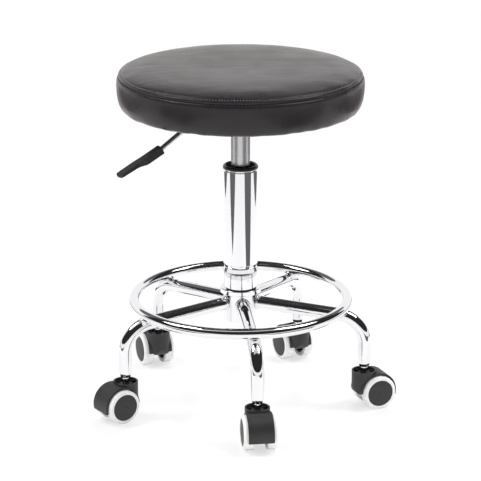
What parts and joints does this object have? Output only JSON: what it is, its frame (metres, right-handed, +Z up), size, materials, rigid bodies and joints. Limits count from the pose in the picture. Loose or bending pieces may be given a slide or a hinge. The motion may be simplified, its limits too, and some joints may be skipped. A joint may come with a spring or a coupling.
{
  "type": "adjustable swivel stool",
  "caption": "Round padded swivel stool on a gas-lift column, with a chromed base, foot ring, twin-wheel hooded casters and a height lever under the seat.",
  "frame": {"origin": "on the floor, under the axis of the column", "axes": "+Z up along the column, -Y along the leg nearest the viewer in the picture"},
  "size_m": [0.446, 0.4264, 0.5061],
  "materials": {
    "chrome": "bright chrome plate on steel",
    "bright_steel": "ground and drawn bright steel",
    "valve_alloy": "machined",
    "black_enamel": "black powder coat",
    "black_nylon": "fine moulded texture",
    "white_tread": "smooth white polyurethane",
    "black_rubber": "moulded",
    "black_vinyl": "soft black vinyl with a satin grain",
    "foam": "cut seat foam",
    "plywood": "black-stained plywood"
  },
  "bodies": {
    "base": {"hub": "chrome", "leg_1": "chrome", "leg_2": "chrome", "leg_3": "chrome", "leg_4": "chrome", "leg_5": "chrome", "foot_ring": "chrome", "leg_sockets": "bright_steel", "caster_stems": "chrome", "stand_tube": "chrome", "guide_bush": "black_nylon", "thrust_bearing": "bright_steel"},
    "gas_rod": {"piston_rod": "bright_steel", "piston": "valve_alloy", "rod_clip": "bright_steel", "bumper": "black_rubber"},
    "seat": {"pressure_cylinder": "bright_steel", "valve_block": "valve_alloy", "rod_guide": "black_nylon", "seat_plate": "black_enamel", "seat_bolts": "bright_steel", "tee_nuts": "bright_steel", "seat_board": "plywood", "foam_pad": "foam", "seat_top_panel": "black_vinyl", "seat_side_band": "black_vinyl", "lever_pin": "bright_steel"},
    "lever": {"lever_rod": "chrome", "lever_handle": "black_nylon"},
    "release_pin": {"release_pin": "bright_steel"},
    "caster_1": {"caster_hood_1": "black_nylon", "caster_axle_1": "bright_steel"},
    "roller_1_left": {"wheel_1_left": "black_nylon", "tyre_1_left": "white_tread"},
    "roller_1_right": {"wheel_1_right": "black_nylon", "tyre_1_right": "white_tread"},
    "caster_2": {"caster_hood_2": "black_nylon", "caster_axle_2": "bright_steel"},
    "roller_2_left": {"wheel_2_left": "black_nylon", "tyre_2_left": "white_tread"},
    "roller_2_right": {"wheel_2_right": "black_nylon", "tyre_2_right": "white_tread"},
    "caster_3": {"caster_hood_3": "black_nylon", "caster_axle_3": "bright_steel"},
    "roller_3_left": {"wheel_3_left": "black_nylon", "tyre_3_left": "white_tread"},
    "roller_3_right": {"wheel_3_right": "black_nylon", "tyre_3_right": "white_tread"},
    "caster_4": {"caster_hood_4": "black_nylon", "caster_axle_4": "bright_steel"},
    "roller_4_left": {"wheel_4_left": "black_nylon", "tyre_4_left": "white_tread"},
    "roller_4_right": {"wheel_4_right": "black_nylon", "tyre_4_right": "white_tread"},
    "caster_5": {"caster_hood_5": "black_nylon", "caster_axle_5": "bright_steel"},
    "roller_5_left": {"wheel_5_left": "black_nylon", "tyre_5_left": "white_tread"},
    "roller_5_right": {"wheel_5_right": "black_nylon", "tyre_5_right": "white_tread"}
  },
  "joints": [
    {"name": "seat_swivel", "type": "hinge", "parent": "base", "child": "gas_rod", "pos_m": [0, 0, 0.1387], "axis": [0, 0, 1], "continuous": true},
    {"name": "seat_height", "type": "slide", "parent": "gas_rod", "child": "seat", "axis": [0, 0, 1], "range_m": [-0.04, 0.08]},
    {"name": "height_lever", "type": "hinge", "parent": "seat", "child": "lever", "pos_m": [-0.03532, -0.01878, 0.438], "axis": [-0.4695, 0.8829, 0], "range_deg": [0, 5], "stiffness_Nm_per_rad": 2},
    {"name": "release_pin_press", "type": "slide", "parent": "seat", "child": "release_pin", "axis": [0, 0, -1], "range_m": [0, 0.0036]},
    {"name": "caster_1_swivel", "type": "hinge", "parent": "base", "child": "caster_1", "pos_m": [0, -0.1845, 0.056], "axis": [0, 0, 1], "continuous": true},
    {"name": "wheel_1_left_roll", "type": "hinge", "parent": "caster_1", "child": "roller_1_left", "pos_m": [0.00028, -0.2005, 0.025], "axis": [0.9998, 0.0175, 0], "continuous": true},
    {"name": "wheel_1_right_roll", "type": "hinge", "parent": "caster_1", "child": "roller_1_right", "pos_m": [0.00028, -0.2005, 0.025], "axis": [0.9998, 0.0175, 0], "continuous": true},
    {"name": "caster_2_swivel", "type": "hinge", "parent": "base", "child": "caster_2", "pos_m": [0.17547, -0.05701, 0.056], "axis": [0, 0, 1], "continuous": true},
    {"name": "wheel_2_left_roll", "type": "hinge", "parent": "caster_2", "child": "roller_2_left", "pos_m": [0.19093, -0.05287, 0.025], "axis": [-0.2588, 0.9659, 0], "continuous": true},
    {"name": "wheel_2_right_roll", "type": "hinge", "parent": "caster_2", "child": "roller_2_right", "pos_m": [0.19093, -0.05287, 0.025], "axis": [-0.2588, 0.9659, 0], "continuous": true},
    {"name": "caster_3_swivel", "type": "hinge", "parent": "base", "child": "caster_3", "pos_m": [0.10845, 0.14926, 0.056], "axis": [0, 0, 1], "continuous": true},
    {"name": "wheel_3_left_roll", "type": "hinge", "parent": "caster_3", "child": "roller_3_left", "pos_m": [0.10297, 0.1643, 0.025], "axis": [-0.9397, -0.342, 0], "continuous": true},
    {"name": "wheel_3_right_roll", "type": "hinge", "parent": "caster_3", "child": "roller_3_right", "pos_m": [0.10297, 0.1643, 0.025], "axis": [-0.9397, -0.342, 0], "continuous": true},
    {"name": "caster_4_swivel", "type": "hinge", "parent": "base", "child": "caster_4", "pos_m": [-0.10845, 0.14926, 0.056], "axis": [0, 0, 1], "continuous": true},
    {"name": "wheel_4_left_roll", "type": "hinge", "parent": "caster_4", "child": "roller_4_left", "pos_m": [-0.11259, 0.16472, 0.025], "axis": [-0.9659, -0.2588, 0], "continuous": true},
    {"name": "wheel_4_right_roll", "type": "hinge", "parent": "caster_4", "child": "roller_4_right", "pos_m": [-0.11259, 0.16472, 0.025], "axis": [-0.9659, -0.2588, 0], "continuous": true},
    {"name": "caster_5_swivel", "type": "hinge", "parent": "base", "child": "caster_5", "pos_m": [-0.17547, -0.05701, 0.056], "axis": [0, 0, 1], "continuous": true},
    {"name": "wheel_5_left_roll", "type": "hinge", "parent": "caster_5", "child": "roller_5_left", "pos_m": [-0.1896, -0.06452, 0.025], "axis": [0.4695, -0.8829, 0], "continuous": true},
    {"name": "wheel_5_right_roll", "type": "hinge", "parent": "caster_5", "child": "roller_5_right", "pos_m": [-0.1896, -0.06452, 0.025], "axis": [0.4695, -0.8829, 0], "continuous": true}
  ],
  "couplings": [
    {"joint": "release_pin_press", "follows": "height_lever", "m_per_rad": 0.04}
  ]
}
